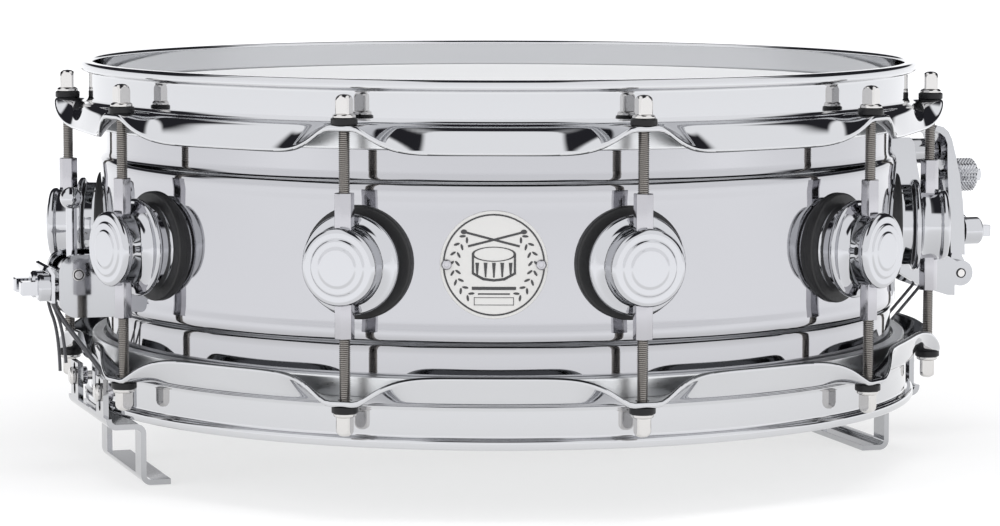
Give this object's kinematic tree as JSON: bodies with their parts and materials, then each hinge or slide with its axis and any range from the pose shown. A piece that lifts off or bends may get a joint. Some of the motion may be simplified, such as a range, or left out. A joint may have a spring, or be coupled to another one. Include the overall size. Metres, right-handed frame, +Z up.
{
  "type": "snare drum",
  "caption": "Chrome-plated metal snare drum with flanged hoops, round tube lugs, tension rods, lever throw-off, butt plate and wire snare guards.",
  "frame": {"origin": "on the drum's axis, at the level that its snare guards stand on", "axes": "+Z up along the drum's axis, -Y to the front with the badge, +X to the right; the throw-off is 108 degrees round to the right of the front and the butt plate opposite it"},
  "size_m": [0.4459, 0.3976, 0.181],
  "materials": {
    "chrome_shell": "mirror chrome over brass",
    "chrome_hoop": "mirror chrome over steel",
    "chrome_cast": "mirror chrome over die-cast zinc",
    "chrome_small": "chromed small parts",
    "chrome_strap": "chromed steel strap",
    "rod_steel": "stainless rod with a fine thread and polished head",
    "receiver_nickel": "satin nickel",
    "zinc_screw": "zinc plate",
    "black_nylon": "satin",
    "black_rubber": "matt",
    "coated_film": "sprayed coating",
    "clear_film": "clear polyester film",
    "flesh_aluminium": "rolled channel",
    "badge_enamel": "pale enamel with a black ring",
    "magnet_nickel": "nickel plate",
    "snare_steel": "steel wire, tinned plates",
    "cord_black": "waxed snare cord"
  },
  "bodies": {
    "drum": {"badge": "badge_enamel", "badge_screws": "chrome_small", "batter_flesh_hoop": "flesh_aluminium", "batter_head_film": "coated_film", "bottom_hoop": "chrome_hoop", "butt_base": "chrome_cast", "butt_cords": "cord_black", "butt_guard": "chrome_strap", "butt_pin": "chrome_small", "fitting_screws": "zinc_screw", "guard_screws": "chrome_small", "guard_spacers": "chrome_small", "lug_bodies": "chrome_cast", "lug_gaskets": "black_rubber", "lug_receivers": "receiver_nickel", "lug_screws": "zinc_screw", "lug_washers": "zinc_screw", "rod_washers": "black_nylon", "shell": "chrome_shell", "snare_end_plates": "snare_steel", "snare_side_film": "clear_film", "snare_side_flesh_hoop": "flesh_aluminium", "snare_wires": "snare_steel", "strainer_base": "chrome_cast", "strainer_cords": "cord_black", "strainer_guard": "chrome_strap", "strainer_magnet": "magnet_nickel", "strainer_pin": "chrome_small", "top_hoop": "chrome_hoop", "vent_eyelet": "chrome_small"},
    "top_rod_01": {"top_rod_01": "rod_steel"},
    "top_rod_02": {"top_rod_02": "rod_steel"},
    "top_rod_03": {"top_rod_03": "rod_steel"},
    "top_rod_04": {"top_rod_04": "rod_steel"},
    "top_rod_05": {"top_rod_05": "rod_steel"},
    "top_rod_06": {"top_rod_06": "rod_steel"},
    "top_rod_07": {"top_rod_07": "rod_steel"},
    "top_rod_08": {"top_rod_08": "rod_steel"},
    "top_rod_09": {"top_rod_09": "rod_steel"},
    "top_rod_10": {"top_rod_10": "rod_steel"},
    "bottom_rod_01": {"bottom_rod_01": "rod_steel"},
    "bottom_rod_02": {"bottom_rod_02": "rod_steel"},
    "bottom_rod_03": {"bottom_rod_03": "rod_steel"},
    "bottom_rod_04": {"bottom_rod_04": "rod_steel"},
    "bottom_rod_05": {"bottom_rod_05": "rod_steel"},
    "bottom_rod_06": {"bottom_rod_06": "rod_steel"},
    "bottom_rod_07": {"bottom_rod_07": "rod_steel"},
    "bottom_rod_08": {"bottom_rod_08": "rod_steel"},
    "bottom_rod_09": {"bottom_rod_09": "rod_steel"},
    "bottom_rod_10": {"bottom_rod_10": "rod_steel"},
    "strainer_lever": {"strainer_lever": "chrome_cast", "strainer_clamp_plate": "chrome_small", "strainer_clamp_screws": "chrome_small"},
    "strainer_knob": {"strainer_knob": "chrome_cast"},
    "butt_lever": {"butt_lever": "chrome_cast"},
    "butt_clamp": {"butt_carrier": "chrome_small", "butt_clamp_plate": "chrome_small", "butt_clamp_screws": "chrome_small", "butt_tail_near": "cord_black", "butt_tail_far": "cord_black"}
  },
  "joints": [
    {"name": "top_rod_01_turn", "type": "hinge", "parent": "drum", "child": "top_rod_01", "pos_m": [0.06057, -0.18641, 0.1405], "axis": [0, 0, 1], "continuous": true},
    {"name": "top_rod_02_turn", "type": "hinge", "parent": "drum", "child": "top_rod_02", "pos_m": [0.15857, -0.11521, 0.1405], "axis": [0, 0, 1], "continuous": true},
    {"name": "top_rod_03_turn", "type": "hinge", "parent": "drum", "child": "top_rod_03", "pos_m": [0.196, 0, 0.1405], "axis": [0, 0, 1], "continuous": true},
    {"name": "top_rod_04_turn", "type": "hinge", "parent": "drum", "child": "top_rod_04", "pos_m": [0.15857, 0.11521, 0.1405], "axis": [0, 0, 1], "continuous": true},
    {"name": "top_rod_05_turn", "type": "hinge", "parent": "drum", "child": "top_rod_05", "pos_m": [0.06057, 0.18641, 0.1405], "axis": [0, 0, 1], "continuous": true},
    {"name": "top_rod_06_turn", "type": "hinge", "parent": "drum", "child": "top_rod_06", "pos_m": [-0.06057, 0.18641, 0.1405], "axis": [0, 0, 1], "continuous": true},
    {"name": "top_rod_07_turn", "type": "hinge", "parent": "drum", "child": "top_rod_07", "pos_m": [-0.15857, 0.11521, 0.1405], "axis": [0, 0, 1], "continuous": true},
    {"name": "top_rod_08_turn", "type": "hinge", "parent": "drum", "child": "top_rod_08", "pos_m": [-0.196, 0, 0.1405], "axis": [0, 0, 1], "continuous": true},
    {"name": "top_rod_09_turn", "type": "hinge", "parent": "drum", "child": "top_rod_09", "pos_m": [-0.15857, -0.11521, 0.1405], "axis": [0, 0, 1], "continuous": true},
    {"name": "top_rod_10_turn", "type": "hinge", "parent": "drum", "child": "top_rod_10", "pos_m": [-0.06057, -0.18641, 0.1405], "axis": [0, 0, 1], "continuous": true},
    {"name": "bottom_rod_01_turn", "type": "hinge", "parent": "drum", "child": "bottom_rod_01", "pos_m": [0.06057, -0.18641, 0.0705], "axis": [0, 0, 1], "continuous": true},
    {"name": "bottom_rod_02_turn", "type": "hinge", "parent": "drum", "child": "bottom_rod_02", "pos_m": [0.15857, -0.11521, 0.0705], "axis": [0, 0, 1], "continuous": true},
    {"name": "bottom_rod_03_turn", "type": "hinge", "parent": "drum", "child": "bottom_rod_03", "pos_m": [0.196, 0, 0.0705], "axis": [0, 0, 1], "continuous": true},
    {"name": "bottom_rod_04_turn", "type": "hinge", "parent": "drum", "child": "bottom_rod_04", "pos_m": [0.15857, 0.11521, 0.0705], "axis": [0, 0, 1], "continuous": true},
    {"name": "bottom_rod_05_turn", "type": "hinge", "parent": "drum", "child": "bottom_rod_05", "pos_m": [0.06057, 0.18641, 0.0705], "axis": [0, 0, 1], "continuous": true},
    {"name": "bottom_rod_06_turn", "type": "hinge", "parent": "drum", "child": "bottom_rod_06", "pos_m": [-0.06057, 0.18641, 0.0705], "axis": [0, 0, 1], "continuous": true},
    {"name": "bottom_rod_07_turn", "type": "hinge", "parent": "drum", "child": "bottom_rod_07", "pos_m": [-0.15857, 0.11521, 0.0705], "axis": [0, 0, 1], "continuous": true},
    {"name": "bottom_rod_08_turn", "type": "hinge", "parent": "drum", "child": "bottom_rod_08", "pos_m": [-0.196, 0, 0.0705], "axis": [0, 0, 1], "continuous": true},
    {"name": "bottom_rod_09_turn", "type": "hinge", "parent": "drum", "child": "bottom_rod_09", "pos_m": [-0.15857, -0.11521, 0.0705], "axis": [0, 0, 1], "continuous": true},
    {"name": "bottom_rod_10_turn", "type": "hinge", "parent": "drum", "child": "bottom_rod_10", "pos_m": [-0.06057, -0.18641, 0.0705], "axis": [0, 0, 1], "continuous": true},
    {"name": "strainer_lever_swing", "type": "hinge", "parent": "drum", "child": "strainer_lever", "pos_m": [0.21313, 0.06925, 0.0775], "axis": [-0.309, 0.9511, 0], "range_deg": [0, 120], "deforming": ["strainer_cords"]},
    {"name": "strainer_knob_turn", "type": "hinge", "parent": "strainer_lever", "child": "strainer_knob", "pos_m": [0.21684, 0.07046, 0.1229], "axis": [0.9511, 0.309, 0], "continuous": true},
    {"name": "butt_lever_swing", "type": "hinge", "parent": "drum", "child": "butt_lever", "pos_m": [-0.18717, -0.06082, 0.0897], "axis": [0.309, -0.9511, 0], "range_deg": [0, 60]},
    {"name": "butt_clamp_slide", "type": "slide", "parent": "drum", "child": "butt_clamp", "axis": [0, 0, -1], "range_m": [0, 0.003], "deforming": ["butt_cords"]}
  ],
  "couplings": [
    {"joint": "butt_clamp_slide", "follows": "butt_lever_swing", "m_per_rad": 0.00286}
  ]
}
